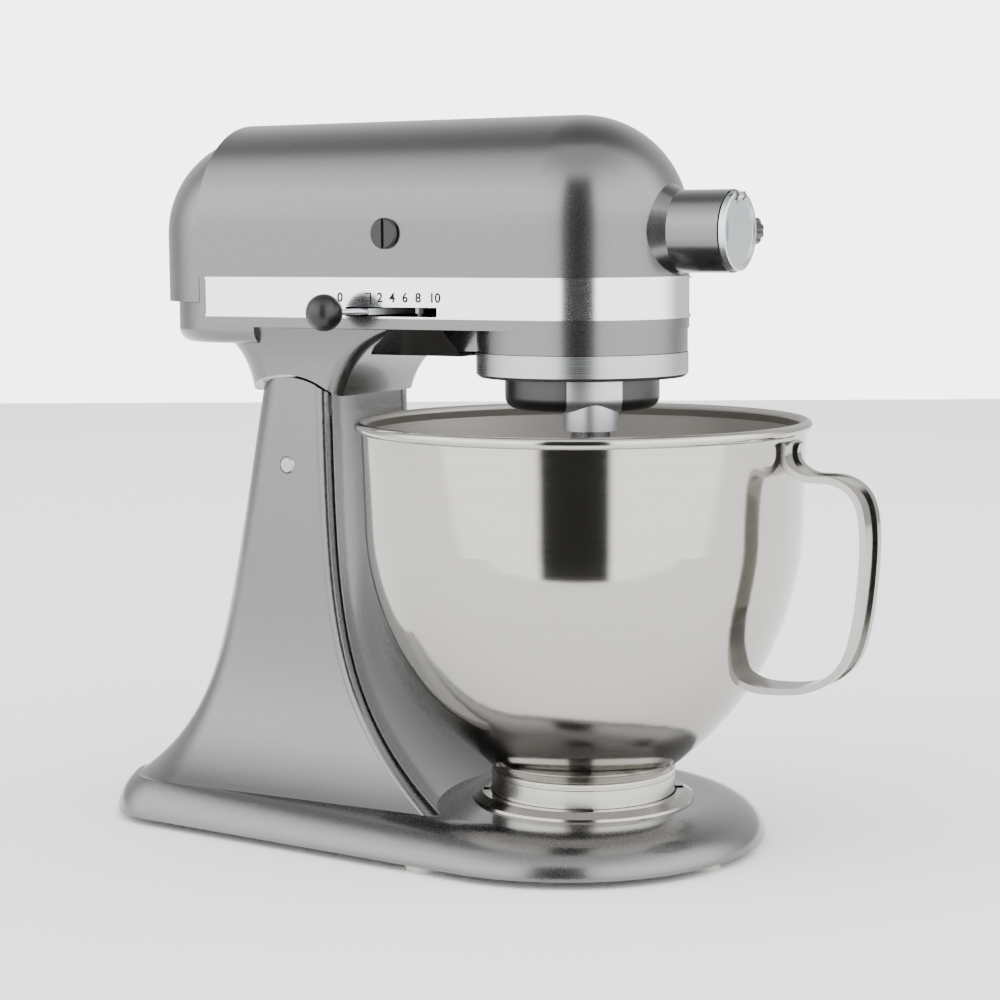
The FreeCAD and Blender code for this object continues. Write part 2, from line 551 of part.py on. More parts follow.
inner_floor = "bowl_low_z + bowl_wall"
bowl_shell = turned("bowl_body", [
    ("0", "bowl_low_z"),
    (bowl_reach("0", "bowl_low_z"), "bowl_low_z", "bowl_curve_r", "bowl_curve_x", "bowl_curve_z", 1),
    (bowl_reach("0", "bowl_shoulder_z"), "bowl_shoulder_z"),
    ("bowl_neck_r", "bowl_bead_z - bowl_bead_r", "bowl_bead_r", "bowl_neck_r", "bowl_bead_z", 1),
    ("bowl_neck_r - bowl_bead_r", "bowl_bead_z"),
    ("bowl_neck_r - bowl_wall", "bowl_bead_z - bowl_bead_r - 1"),
    (bowl_reach("bowl_wall", "bowl_shoulder_z"), "bowl_shoulder_z", "bowl_curve_r - bowl_wall",
     "bowl_curve_x", "bowl_curve_z", -1),
    (bowl_reach("bowl_wall", "(%s)" % inner_floor), inner_floor),
    ("0", inner_floor)])
publish(bowl_shell, "bowl_shell")

foot_ring = turned("foot_ring_body", [
    ("foot_ring_r - foot_ring_wall", "foot_ring_low_z"), ("foot_ring_r", "foot_ring_low_z"),
    ("foot_ring_r", "bowl_low_z - 4"), ("foot_ring_r - 0.6", "bowl_low_z - 3.6"),
    ("foot_ring_r - 0.6", "bowl_low_z - 2.8"), ("foot_ring_r", "bowl_low_z - 2.4"),
    ("foot_ring_r", "bowl_low_z - 0.9"), (bowl_reach("0", "bowl_low_z"), "bowl_low_z"),
    ("foot_ring_r - foot_ring_wall - 4", "bowl_low_z"), ("foot_ring_r - foot_ring_wall - 4",
                                                         "bowl_low_z - 1.6"),
    ("foot_ring_r - foot_ring_wall", "bowl_low_z - 1.6")])
lugs = []
for n in range(4):
    lug = cylinder("lug_bar_%d" % n, "lug_r", "lug_stand + foot_ring_wall / 2",
                   "foot_ring_r - foot_ring_wall / 2", "0", "lug_z", "x")
    lug_turned = group("lug_%d" % n, [lug])
    lug_turned.Placement = Placement(Vector(0, 0, 0), Rotation(Z_AXIS, 15 + 90 * n))
    lugs.append(lug_turned)
publish(fuse("bowl_foot_solid", [foot_ring] + lugs), "bowl_foot")

# Bowl handle: one pressed strap, its outer face sunk along the middle
reach = val("handle_reach")
seat = 0.5 * val("handle_thick")
wall_top = val("bowl_neck_r") + seat
tab_z = val("bowl_bead_z - bowl_bead_r")
HANDLE_LOW_Z = 86


def bowl_wall_x(z):
    return val(bowl_reach("0", str(z)))


low_x = bowl_wall_x(HANDLE_LOW_Z)
loop_z = HANDLE_LOW_Z - 4
run = reach - low_x
strap_path = [(wall_top - 0.05, 0, tab_z - 2.3), (wall_top + 0.1, 0, tab_z - 12.3),
              (wall_top + 9, 0, tab_z - 17.8),
              (reach - 18, 0, tab_z - 18.3), (reach - 6, 0, tab_z - 24.3), (reach - 1, 0, tab_z - 39.3),
              (reach - 1.4, 0, tab_z - 63.3), (reach - 5, 0, loop_z + 29), (reach - 12, 0, loop_z + 12),
              (reach - 0.43 * run, 0, loop_z + 2.5), (reach - 0.75 * run, 0, loop_z - 0.5),
              (reach - 0.92 * run, 0, loop_z), (reach - 1.07 * run, 0, loop_z + 4)]
strap_curve = Part.BSplineCurve()
strap_curve.interpolate([Vector(*p) for p in strap_path])


def strap_band(offset_a, offset_b, width):
    count = 40
    span = strap_curve.LastParameter - strap_curve.FirstParameter
    near, far = [], []
    for step in range(count + 1):
        u = strap_curve.FirstParameter + span * step / count
        p = strap_curve.value(u)
        along = strap_curve.tangent(u)[0]
        side = Vector(-along.z, 0, along.x)
        near.append(p + side * offset_a)
        far.append(p + side * offset_b)
    side_a, side_b = Part.BSplineCurve(), Part.BSplineCurve()
    side_a.interpolate(near)
    side_b.interpolate(far)
    edges = [side_a.toShape(), Part.makeLine(near[-1], far[-1]), side_b.toShape(),
             Part.makeLine(far[0], near[0])]
    face = Part.Face(Part.Wire(Part.__sortEdges__(edges)))
    face.translate(Vector(0, -width / 2, 0))
    return face.extrude(Vector(0, width, 0))


half = val("handle_thick") / 2
strap_solid = strap_band(-half, half, val("handle_width"))
channel = strap_band(0.2, half + 1, val("handle_channel"))
handle_raw = feature("handle_raw", strap_solid.cut(channel))
bowl_keepout = turned("bowl_keepout", [
    ("0", "bowl_low_z"),
    (bowl_reach("0", "bowl_low_z"), "bowl_low_z", "bowl_curve_r", "bowl_curve_x", "bowl_curve_z", 1),
    (bowl_reach("0", "bowl_shoulder_z"), "bowl_shoulder_z"),
    ("bowl_neck_r", "bowl_bead_z - bowl_bead_r"), ("0", "bowl_bead_z - bowl_bead_r")])
publish(cut("handle_cut", handle_raw, [bowl_keepout]), "bowl_handle")


# Head housings: a dome section run forward into a half-turned nose
def dome_run(name, step_r, full_r, low, step, dome, length, centre_x, forward):
    body = new_body(name)
    top = "%s + %s" % (dome, full_r)
    sides = [(step_r, low), (step_r, step), (full_r, step)] if step else [(full_r, low)]
    left = [("-(%s)" % y, z) for y, z in reversed(sides)]
    arch = [(full_r, dome, full_r, "0", dome, 1)]
    section = sketch(body, name + "_section", "YZ_Plane", [sides + arch + [("-(%s)" % full_r,
            dome)] + left])
    pad(body, section, length, forward)
    sign = "" if forward else "-"
    half_sides = [("%s(%s)" % (sign, y), z) for y, z in sides]
    turn = 1 if forward else -1
    half_arch = [("%s(%s)" % (sign, full_r), dome, full_r, "0", dome, turn), ("0", top)]
    revolve(body, sketch(body, name + "_nose", "XZ_Plane", [[("0", low)] + half_sides + half_arch]),
            degrees=180)
    place(body, centre_x)
    return body


head_inner_r = "band_r - head_wall"
head_outer = dome_run("head_outer", "band_r", "head_r", "split_z", "band_top_z", "dome_z", "-head_rear_x",
                      "0", True)
head_inner = dome_run("head_inner", head_inner_r, head_inner_r, "split_z - 1", None, "dome_z",
                      "-head_rear_x + 1", "0", True)
hub_stub = cylinder("hub_stub", "hub_r", "hub_face_x - 40", "40", "0", "hub_z", "x")
hub_root = cone("hub_root", "hub_flare_r", "hub_r", "hub_flare_x - 45", "45", "0", "hub_z", "x")
EAR_SIDES = (("3.3", "5.3"), ("-5.3", "-3.3"))
ears = [box("hub_ear_%d" % n, ("hub_face_x - 4", "hub_hinge_x + 1.4"), side,
            ("hub_hinge_z - 1.7", "hub_hinge_z + 1.8"))
        for n, side in enumerate(EAR_SIDES)]
head_cuts = [
    head_inner,
    cylinder("hub_bore", "hub_bore_r", "hub_face_x", "hub_bore_x", "0", "hub_z", "x"),
    cylinder("hub_drive_room", "hub_bore_r - 1.2", "20", "hub_room_x", "0", "hub_z", "x"),
    cylinder("hub_bush_hole", "hub_bush_r", "30", "40", "0", "hub_z", "x"),
    cylinder("hub_screw_hole", "hub_screw_r + fit_gap", "20", "hub_knob_x", "8", "hub_z", "y"),
    cylinder("hub_pin_hole", "0.9 + fit_gap / 5", "20", "hub_hinge_x", "-10", "hub_hinge_z", "y"),
    cylinder("brush_hole", "brush_hole_r", "160", "brush_x", "-80", "hub_z", "y"),
    turned("band_room", ring("band_r", "band_r + 60", "split_z - 1", "band_top_z")),
]
upper_housing = cut("upper_cut", fuse("upper_solid", [head_outer, hub_stub, hub_root] + ears), head_cuts)
publish(upper_housing, "upper_housing")



def dome_cap(name, reach, low):
    """Round-topped cap turned about a vertical axis, closed below at the low level."""
    return turned(name, [("0", low), (reach, low), (reach, "cover_dome_z", reach, "0", "cover_dome_z", 1),
                         ("0", "cover_dome_z + (%s)" % reach)])


cover_outer = dome_cap("cover_outer", "cover_r", "cover_low_z")
place(cover_outer, "cover_x")
cover_inner = dome_cap("cover_inner", "cover_r - cover_wall", "cover_low_z - 1")
place(cover_inner, "cover_x")
cover_front = box("cover_front", ("head_rear_x - 0.4", "0"), ("-100", "100"),
                  ("cover_low_z - 2", "cover_dome_z + 100"))
vent_slots = [box("vent_%d" % n, ("cover_x - 60", "cover_x - 30"),
                  ("%d" % (-21 + 9 * n), "%d" % (-16 + 9 * n)),
                  ("cover_low_z + 6", "cover_low_z + 9")) for n in range(5)]
cover_seat = "cover_x - sqrt(cover_r^2 - (hub_z + 14 - cover_dome_z)^2) + 1.9"
cover_screw_holes = [cylinder("cover_screw_hole", "2 + fit_gap", "40", "cover_x - 60", "0", "hub_z + 14",
                              "x"),
                     cylinder("cover_screw_sink", "4", "20", "%s - 20" % cover_seat, "0", "hub_z + 14",
                              "x")]
publish(cut("cover_cut", cover_outer, [cover_inner, cover_front] + cover_screw_holes + vent_slots),
        "rear_cover")


# Lower housing: stepped tray, round collar, keel, tail and the neck that meets the column
def nose_plan(reach, rear):
    return [(rear, "-(%s)" % reach), ("0", "-(%s)" % reach, reach, "0", "0", 1), ("0", reach),
            (rear, reach)]


tray = new_body("tray_body")
pad(tray, sketch(tray, "tray_plan", "XY_Plane", [nose_plan("band_r", "head_rear_x")], "ledge_z"),
    "split_z - ledge_z")
pad(tray, sketch(tray, "ledge_plan", "XY_Plane", [nose_plan("head_r", "head_rear_x")], "ledge_z"),
    "band_low_z - ledge_z")


def tail_plan(reach):
    return [("head_rear_x + 30", "-(%s)" % reach), ("head_rear_x + 30", reach),
            ("cover_x", reach, reach, "cover_x", "0", 1), ("cover_x", "-(%s)" % reach)]


tail = new_body("tail_body")
pad(tail, sketch(tail, "tail_shape", "XY_Plane", [tail_plan("tail_r")], "tail_low_z"),
    "cover_low_z - 0.4 - tail_low_z")
doc.recompute()
tail_edges = ["Edge%d" % (number + 1) for number, edge in enumerate(tail.Shape.Edges)
              if abs(edge.BoundBox.ZMax - val("tail_low_z")) < 1e-6
              and edge.BoundBox.XMax < val("head_rear_x") + 31
              and edge.BoundBox.YLength > 0.1 and edge.Curve.TypeId == "Part::GeomCircle"]
square_tail = tail.Tip
tail_round = tail.newObject("PartDesign::Fillet", "tail_rounding")
tail_round.Base = (square_tail, tail_edges)
tail_round.Radius = 7
collar = cylinder("collar_disc", "collar_r", "floor_top_z - collar_low_z", "0", "0", "collar_low_z")
keel_rear = new_body("keel_rear")
keel_section = sketch(keel_rear, "keel_section", "YZ_Plane", [[
    ("keel_low_half_width", "keel_low_z"), ("keel_half_width", "ledge_z + 1"),
    ("-keel_half_width", "ledge_z + 1"), ("-keel_low_half_width", "keel_low_z")]])
pad(keel_rear, keel_section, "-drip_r - 1.2 - pin_x + 2", True)
place(keel_rear, "-drip_r - 1.2")
keel_sides = ("-keel_low_half_width", "keel_low_half_width")
keel = fuse("keel_bar", [keel_rear, box("keel_front", ("-drip_r - 2", "0"), keel_sides,
                                        ("collar_low_z", "floor_top_z"))])


def neck_wire(z):
    fade = math.exp(-(val("floor_top_z") - z) / val("neck_fade"))
    front = val("column_front_x") + 1 + val("neck_flare") * fade
    rear = val("column_rear_x") - 3 - 0.55 * val("neck_flare") * fade
    side = val("column_half_width") + 6 * fade
    r = 20.0
    k = math.sqrt(0.5)
    edges = []
    corners = [(front, side, -1, -1), (rear, side, 1, -1), (rear, -side, 1, 1), (front, -side, -1, 1)]
    ends = []
    for n, (x, y, ix, iy) in enumerate(corners):
        rad = 8.0 if x == front else r
        centre = Vector(x + ix * rad, y + iy * rad, z)
        on_side = Vector(x + ix * rad, y, z)
        on_end = Vector(x, y + iy * rad, z)
        mid = centre + Vector(-ix * k, -iy * k, 0) * rad
        pair = (on_end, on_side) if n in (0, 2) else (on_side, on_end)
        edges.append((Part.Arc(pair[0], mid, pair[1]).toShape(), pair))
    loop = []
    for n in range(4):
        loop.append(edges[n][0])
        loop.append(Part.makeLine(edges[n][1][1], edges[(n + 1) % 4][1][0]))
    return Part.Wire(loop)


neck_low, neck_high = val("pin_z") + 14, val("floor_top_z") - 1.5
neck_steps = [neck_low + (neck_high - neck_low) * step / 8 for step in range(9)]
neck_loft = feature("neck_loft", Part.makeLoft([neck_wire(z) for z in neck_steps], True))
neck = cut("neck_trimmed", neck_loft, [cylinder("neck_sweep", "seam_r + seam_gap", "200", "pin_x", "-100",
                                                "pin_z", "y")])
tongue = fuse("tongue", [
    cylinder("tongue_eye", "tongue_eye_r", "2 * tongue_half_width", "pin_x", "-tongue_half_width", "pin_z",
             "y"),
    box("tongue_bar", ("pin_x - tongue_half_depth", "pin_x + tongue_half_depth"),
        ("-tongue_half_width", "tongue_half_width"), ("pin_z", "keel_low_z + 4"))])
tray_hollow = new_body("tray_hollow")
hollow_shape = sketch(tray_hollow, "hollow_shape", "XY_Plane", [nose_plan(head_inner_r, "head_rear_x + 4")],
                      "floor_top_z")
pad(tray_hollow, hollow_shape, "20")
tail_hollow = cylinder("tail_hollow", "tail_r - 3.2", "20", "cover_x", "0", "floor_top_z")
slot_x = ("lever_x - lever_slot_half", "lever_x + lever_slot_half")
slot_z = ("lever_z - lever_slot_height / 2", "lever_z + lever_slot_height / 2")
lower_cuts = [
    tray_hollow,
    tail_hollow,
    cylinder("center_bush_hole", "center_shaft_r + 3", "40", "0", "0", "collar_low_z - 5"),
    cylinder("wheel_bush_hole", "wheel_shaft_r + 3", "20", "wheel_x", "wheel_y", "floor_top_z - 8"),
    box("lever_window", slot_x, ("-head_r - 5", "-40"), slot_z),
    cylinder("lever_pin_hole", "lever_pin_r + fit_gap / 5", "12", "lever_x", "lever_y", "floor_top_z - 8"),
    cylinder("tongue_bore", "pin_r + fit_gap", "100", "pin_x", "-50", "pin_z", "y"),
    box("lock_notch", ("pin_x - 20", "pin_x + 20"), ("tongue_half_width - 5", "tongue_half_width + 5"),
        ("lock_z - lock_pocket_height / 2 - 0.5", "lock_z + lock_pocket_height / 2 + 0.5")),
    cylinder("gland_hole", "6", "20", "-228", "0", "tail_low_z + 11", "x"),
]
drive(lower_cuts[-1], "Placement.Base.x", "cover_x - tail_r - 5")
lower_housing = cut("lower_cut", fuse("lower_solid", [tray, tail, collar, keel, neck, tongue]), lower_cuts)
publish(lower_housing, "lower_housing")

# Bright trim band between the housings, with a raised lip above and below
band_out = "band_r + 0.1 + band_thickness"
band = new_body("band_body")


def band_plan(reach):
    inner = "band_r + 0.1"
    rear = "band_rear_x"
    return [(rear, "-(%s)" % reach), ("0", "-(%s)" % reach, reach, "0", "0", 1), ("0", reach),
            (rear, reach),
            (rear, inner), ("0", inner, inner, "0", "0", -1), ("0", "-(%s)" % inner),
            (rear, "-(%s)" % inner)]


for label, reach, low, high in (("face", band_out, "band_low_z + 0.1", "band_top_z - 0.1"),
                                ("lip_low", band_out + " + band_lip", "band_low_z + 0.1",
                                 "band_low_z + 1.3"),
                                ("lip_top", band_out + " + band_lip", "band_top_z - 1.3",
                                 "band_top_z - 0.1")):
    pad(band, sketch(band, "band_" + label, "XY_Plane", [band_plan(reach)], low),
        "(%s) - (%s)" % (high, low))
band_slot = box("band_slot", slot_x, ("-head_r - 6", "-40"), slot_z)
publish(cut("band_cut", band, [band_slot]), "trim_band")

# Speed lever and its ball
lever_bar = fuse("lever_solid", [
    cylinder("lever_eye", "lever_width", "lever_thick", "0", "0", "-lever_thick / 2"),
    box("lever_bar", ("-lever_width / 2", "lever_width / 2"), ("-lever_length + 18", "0"),
        ("-lever_thick / 2", "lever_thick / 2")),
    cylinder("lever_rod", "1.45", "22", "0", "-lever_length", "0", "y")])
lever_turn = Rotation(Z_AXIS, val("lever_rest_deg"))
lever = cut("lever_cut", lever_bar, [cylinder("lever_bore", "lever_pin_r + fit_gap", "10", "0", "0", "-5")])
publish(lever, "speed_lever", "lever_x", "lever_y", "lever_z", lever_turn)
knob = cut("knob_cut", sphere("knob_ball", "knob_r", "0", "-lever_length - 5"),
           [cylinder("knob_socket", "1.45", "22", "0", "-lever_length", "0", "y")])
publish(knob, "speed_knob", "lever_x", "lever_y", "lever_z", lever_turn)
publish(fuse("lever_pin_solid", [
    cylinder("lever_pin_stem", "lever_pin_r", "15", "0", "0", "-8"),
    cylinder("lever_pin_head", "lever_pin_r + 1.5", "1.5", "0", "0", "7")]),
    "lever_pivot_pin", "lever_x", "lever_y", "floor_top_z")
speed_plate = cut("speed_plate_cut",
                  box("speed_plate_blank", ("lever_x - 42", "lever_x - 20"), ("-12", "12"),
                      ("floor_top_z", "floor_top_z + 1.2")),
                  [cylinder("speed_plate_hole", "3", "5", "lever_x - 31", "0", "floor_top_z - 1")])
publish(speed_plate, "speed_plate")


# Motor on the hub height line
def motor_ring(name, label, low_r, high_r, low_x, high_x):
    publish(turned(name, ring_x(low_r, high_r, low_x, high_x), "x"), label, "0", "0", "hub_z")


stator_body = turned("stator_body", ring_x("stator_bore_r", "stator_r", "motor_rear_x", "motor_front_x"),
                     "x")
flats = [box("stator_flat_%d" % n, ("motor_rear_x - 1", "motor_front_x + 1"), side, ("-60", "60"))
         for n, side in enumerate((("stator_r - 3", "stator_r + 9"), ("-stator_r - 9", "-stator_r + 3")))]
publish(cut("stator_cut", stator_body, flats), "motor_stator", "0", "0", "hub_z")
coils = []
for n, (low, high) in enumerate((("motor_front_x", "motor_front_x + coil_length"),
                                 ("motor_rear_x - coil_length", "motor_rear_x"))):
    hoop = turned("coil_hoop_%d" % n, ring_x("coil_inner_r", "coil_outer_r", low, high), "x")
    gaps = box("coil_gap_%d" % n, (low + " - 1", high + " + 1"), ("-50", "50"), ("-9", "9"))
    coils.append(cut("coil_%d" % n, hoop, [gaps]))
publish(group("coil_group", coils), "field_coils", "0", "0", "hub_z")
for end in ("front", "rear"):
    low, high = "%s_bearing_x" % end, "%s_bearing_x + bearing_width" % end
    motor_ring(end + "_bearing_body", end + "_bearing", "motor_shaft_r + fit_gap", "bearing_r", low, high)
    disc = turned(end + "_bracket_disc", ring_x("bearing_r", "bracket_r", low + " + 1", high + " - 1"), "x")
    lights = [cylinder("%s_light_%d" % (end, n), "9", "20", low + " - 5",
                       "26 * cos(%d)" % (90 * n + 45), "26 * sin(%d)" % (90 * n + 45),
                       "x") for n in range(4)]
    publish(cut(end + "_bracket_cut", disc, lights), end + "_bracket", "0", "0", "hub_z")
motor_ring("core_body", "armature_core", "motor_shaft_r", "core_r", "motor_rear_x", "motor_front_x")
segments = turned("commutator_blank", ring_x("motor_shaft_r", "commutator_r", "commutator_rear_x",
                                             "commutator_front_x"), "x")
publish(segments, "commutator", "0", "0", "hub_z")
fan_parts = [turned("fan_disc", ring_x("motor_shaft_r", "fan_r", "fan_x + fan_width - 1.2",
                                       "fan_x + fan_width"), "x"),
             turned("fan_hub", ring_x("motor_shaft_r", "8", "fan_x", "fan_x + fan_width"), "x")]
for n in range(9):
    blade = box("fan_blade_bar_%d" % n, ("fan_x", "fan_x + fan_width"), ("-0.6", "0.6"), ("14", "fan_r"))
    blade_turned = group("fan_blade_%d" % n, [blade])
    blade_turned.Placement = Placement(Vector(0, 0, 0), Rotation(X_AXIS, 40 * n))
    fan_parts.append(blade_turned)
publish(fuse("fan_solid", fan_parts), "cooling_fan", "0", "0", "hub_z")

holders, brushes, caps = [], [], []
for n, (sign, turn) in enumerate((("", Rotation(X_AXIS, 0)), ("-", Rotation(X_AXIS, 180)))):
    tube = turned("holder_tube_%d" % n, ring("4.5", "5.8", "13", "head_r - 6.2"), "y")
    tube.Placement = Placement(Vector(0, 0, 0), turn)
    holders.append(tube)
    stick = box("brush_stick_%d" % n, ("-3", "3"), ("commutator_r + 0.3", "26"), ("-2.5", "2.5"))
    stick_turned = group("brush_%d" % n, [stick])
    stick_turned.Placement = Placement(Vector(0, 0, 0), turn)
    brushes.append(stick_turned)
    cap = turned("cap_turned_%d" % n, [("0", "head_r - 5.8"), ("brush_neck_r", "head_r - 5.8"),
                                       ("brush_neck_r", "head_r + 0.3"), ("brush_cap_r", "head_r + 0.3"),
                                       ("brush_cap_r", "head_r + 1.6"),
                                       ("brush_cap_r - 0.8", "head_r + 2.4"),
                                       ("0", "head_r + 2.4")], "y")
    slot = box("cap_slot_%d" % n, ("-0.9", "0.9"), ("head_r + 1.2", "head_r + 5"), ("-9", "9"))
    cap_cut = cut("cap_%d" % n, cap, [slot])
    cap_cut.Placement = Placement(Vector(0, 0, 0), turn)
    caps.append(cap_cut)
publish(group("holder_group", holders), "brush_holders", "brush_x", "0", "hub_z")
publish(group("brush_group", brushes), "carbon_brushes", "brush_x", "0", "hub_z")
publish(group("cap_group", caps), "brush_caps", "brush_x", "0", "hub_z")


# Gear teeth: straight-flanked and thinned so meshing wheels run with backlash
def tooth_wire(teeth, module, z, scale=1.0, phase=0.0, inward=False, depth=(0.9, 1.1), thin=0.42):
    pitch_r = module * teeth / 2
    tip = pitch_r + (-depth[0] if inward else depth[0]) * module
    root = pitch_r + (depth[1] if inward else -depth[1]) * module
    step = 2 * math.pi / teeth
    points = []
    for tooth in range(teeth):
        centre = step * tooth + phase
        for radius, half in ((root, 0.31), (tip, 0.11), (tip, -0.11), (root, -0.31)):
            angle = centre - half * step * thin / 0.42
            points.append(Vector(radius * scale * math.cos(angle), radius * scale * math.sin(angle), z))
    points.append(points[0])
    return Part.makePolygon(points)


def holed_face(outer, inner):
    return Part.makeFace([outer, inner], "Part::FaceMakerBullseye")


def spur(teeth, module, width, bore, phase=0.0):
    face = holed_face(tooth_wire(teeth, module, 0, 1.0, phase), Part.Wire(Part.makeCircle(bore)))
    return face.extrude(Vector(0, 0, width))


BEVEL_DEPTH = (0.75, 1.2)


def bevel(teeth, module, apex, back, bore, face_ratio, phase=0.0):
    small = 1 - face_ratio * 0.42
    wires = [tooth_wire(teeth, module, 0, 1.0, phase, depth=BEVEL_DEPTH, thin=0.38),
             tooth_wire(teeth, module, apex * (1 - small), small, phase, depth=BEVEL_DEPTH, thin=0.38)]
    solid = Part.makeLoft(wires, True, True)
    hub = Part.makeCylinder(module * teeth / 2 - 1.2 * module, back, Vector(0, 0, -back))
    drill = Part.makeCylinder(bore, back + apex, Vector(0, 0, -back - 1))
    return solid.fuse(hub).cut(drill).removeSplitter()


spur_module = val("spur_module")
pinion_teeth, center_teeth = int(val("pinion_teeth")), int(val("center_teeth"))
planet_teeth, ring_teeth = int(val("planet_teeth")), int(val("ring_teeth"))
wheel_angle = math.atan2(val("wheel_y"), val("wheel_x"))
mesh_phase = wheel_angle + math.pi + math.pi / pinion_teeth
spur_z = "spur_low_z"
publish(feature("center_gear_body", spur(center_teeth, spur_module, val("spur_width"),
                                         val("center_shaft_r"), wheel_angle)),
        "center_gear", "0", "0", spur_z)
publish(feature("drive_pinion_body", spur(pinion_teeth, spur_module, val("spur_width"),
                                          val("wheel_shaft_r"), mesh_phase)),
        "drive_pinion", "wheel_x", "wheel_y", spur_z)
wheel_teeth = int(val("wheel_teeth"))
wheel_module = val("wheel_module")
wheel_wire = tooth_wire(wheel_teeth, wheel_module, 0, 1.0, math.pi / wheel_teeth - math.pi / 2, False,
                        (0.55, 1.35), 0.30)
wheel_face = holed_face(wheel_wire, Part.Wire(Part.makeCircle(val("wheel_shaft_r"))))
publish(feature("worm_wheel_body", wheel_face.extrude(Vector(0, 0, val("wheel_width")))),
        "worm_wheel", "wheel_x", "wheel_y", "hub_z - wheel_width / 2")
publish(cylinder("wheel_shaft_stem", "wheel_shaft_r - fit_gap / 10", "64"), "wheel_shaft", "wheel_x",
        "wheel_y", "floor_top_z - 7")
bush = turned("wheel_bush_low", ring("wheel_shaft_r + fit_gap", "wheel_shaft_r + 3", "floor_top_z - 7.5",
                                     "floor_top_z + 1"))
publish(bush, "wheel_bush", "wheel_x", "wheel_y")

# Armature shaft with a two-start worm
lead = 2 * math.pi * wheel_module
worm_length = val("worm_front_x - worm_rear_x")
shaft_solid = Part.makeCylinder(val("motor_shaft_r"), val("motor_tip_x - motor_tail_x"),
                                Vector(val("motor_tail_x"), 0, 0), X_AXIS)
mid_x = val("wheel_x")


def worm_thread(start_deg):
    """One thread as a ruled helical strip, crest thin enough to run free of the wheel teeth."""
    turns = worm_length / lead
    steps = int(12 * turns)
    root_r, tip_r = val("worm_root_r") - 0.15, val("worm_tip_r")
    sections = []
    for n in range(steps + 1):
        x = val("worm_rear_x") + worm_length * n / steps
        angle = math.radians(start_deg) + 2 * math.pi * (x - mid_x) / lead
        radial = Vector(0, math.cos(angle), math.sin(angle))
        corners = [Vector(x - 0.6, 0, 0) + radial * root_r, Vector(x - 0.3, 0, 0) + radial * tip_r,
                   Vector(x + 0.3, 0, 0) + radial * tip_r, Vector(x + 0.6, 0, 0) + radial * root_r]
        sections.append(Part.makePolygon(corners + [corners[0]]))
    return Part.makeLoft(sections, True, True)


threads = [worm_thread(0), worm_thread(180)]
publish(feature("armature_shaft_body", shaft_solid.fuse(threads).removeSplitter()), "armature_shaft", "0",
        "0", "hub_z")

# Planetary drive under the nose
bevel_module = val("bevel_module")
bevel_gear_r = bevel_module * val("bevel_gear_teeth") / 2
bevel_pinion_r = bevel_module * val("bevel_pinion_teeth") / 2
publish(feature("center_bevel_body", bevel(int(val("bevel_gear_teeth")), bevel_module, bevel_pinion_r, 8.0,
                                           val("center_shaft_r"), val("bevel_face"))),
        "center_bevel_gear", "0", "0", "hub_z - bevel_module * bevel_pinion_teeth / 2")
pinion_shape = bevel(int(val("bevel_pinion_teeth")), bevel_module, bevel_gear_r, 6.0, val("hub_shaft_r"),
                     val("bevel_face"),
                     math.pi / val("bevel_pinion_teeth"))
publish(feature("hub_pinion_body", pinion_shape), "hub_bevel_pinion", "bevel_module * bevel_gear_teeth / 2",
        "0", "hub_z",
        Rotation(Y_AXIS, -90))
publish(cylinder("center_shaft_stem", "center_shaft_r - fit_gap / 10", "hub_z - 10 - carrier_low_z - 4"),
        "center_shaft", "0", "0", "carrier_low_z + 4")
publish(turned("center_bush_body", ring("center_shaft_r + fit_gap", "center_shaft_r + 3", "collar_low_z",
                                        "floor_top_z + 1")),
        "center_bush")
beater_x = "beater_offset * cos(beater_angle)"
beater_y = "beater_offset * sin(beater_angle)"
ring_wire = tooth_wire(ring_teeth, spur_module, 0, 1.0, math.radians(val("beater_angle")), True)
ring_face = holed_face(Part.Wire(Part.makeCircle(val("ring_outer_r"))), ring_wire)
publish(feature("ring_gear_body", ring_face.extrude(Vector(0, 0, val("collar_low_z - ring_low_z")))),
        "ring_gear", "0", "0", "ring_low_z")
planet_phase = math.radians(val("beater_angle")) + math.pi / planet_teeth
publish(feature("planet_body", spur(planet_teeth, spur_module, val("planet_width"), val("beater_shaft_r"),
                                    planet_phase)),
        "planet_pinion", beater_x, beater_y, "planet_low_z")
publish(turned("drip_body", [("drip_inner_r", "drip_low_z"), ("drip_r - 1.5", "drip_low_z"),
                             ("drip_r", "drip_low_z + 1.5"),
                             ("drip_r", "collar_low_z - 0.3"), ("drip_inner_r", "collar_low_z - 0.3")]),
                             "drip_ring")
pan = turned("carrier_pan", [
    ("0", "carrier_low_z"), ("carrier_r - carrier_edge_r", "carrier_low_z", "carrier_edge_r",
                             "carrier_r - carrier_edge_r",
                             "carrier_low_z + carrier_edge_r", 1),
    ("carrier_r", "carrier_low_z + carrier_edge_r"), ("carrier_r", "carrier_top_z"),
    ("0", "carrier_top_z")])
boss = cylinder("carrier_boss", "boss_r", "carrier_top_z - boss_low_z", beater_x, beater_y, "boss_low_z")
carrier = cut("carrier_cut", fuse("carrier_solid", [pan, boss]), [
    cylinder("carrier_bore", "center_shaft_r", "60", "0", "0", "carrier_low_z + 4"),
    cylinder("beater_bore", "beater_shaft_r + fit_gap", "60", beater_x, beater_y, "boss_low_z - 5")])
publish(carrier, "planetary_carrier")
beater_shaft = cut("beater_cut",
                   cylinder("beater_stem", "beater_shaft_r - fit_gap / 10",
                            "planet_low_z + planet_width - beater_low_z",
                            "0", "0", "beater_low_z"),
                   [cylinder("beater_pin_hole", "beater_pin_r", "40", "0", "-20", "beater_pin_z", "y")])
publish(beater_shaft, "beater_shaft", beater_x, beater_y)
publish(cylinder("beater_pin_body", "beater_pin_r - fit_gap / 10", "22", "0", "0", "0", "y"), "beater_pin",
        beater_x, "%s - 11" % beater_y, "beater_pin_z", Rotation(X_AXIS, -90))
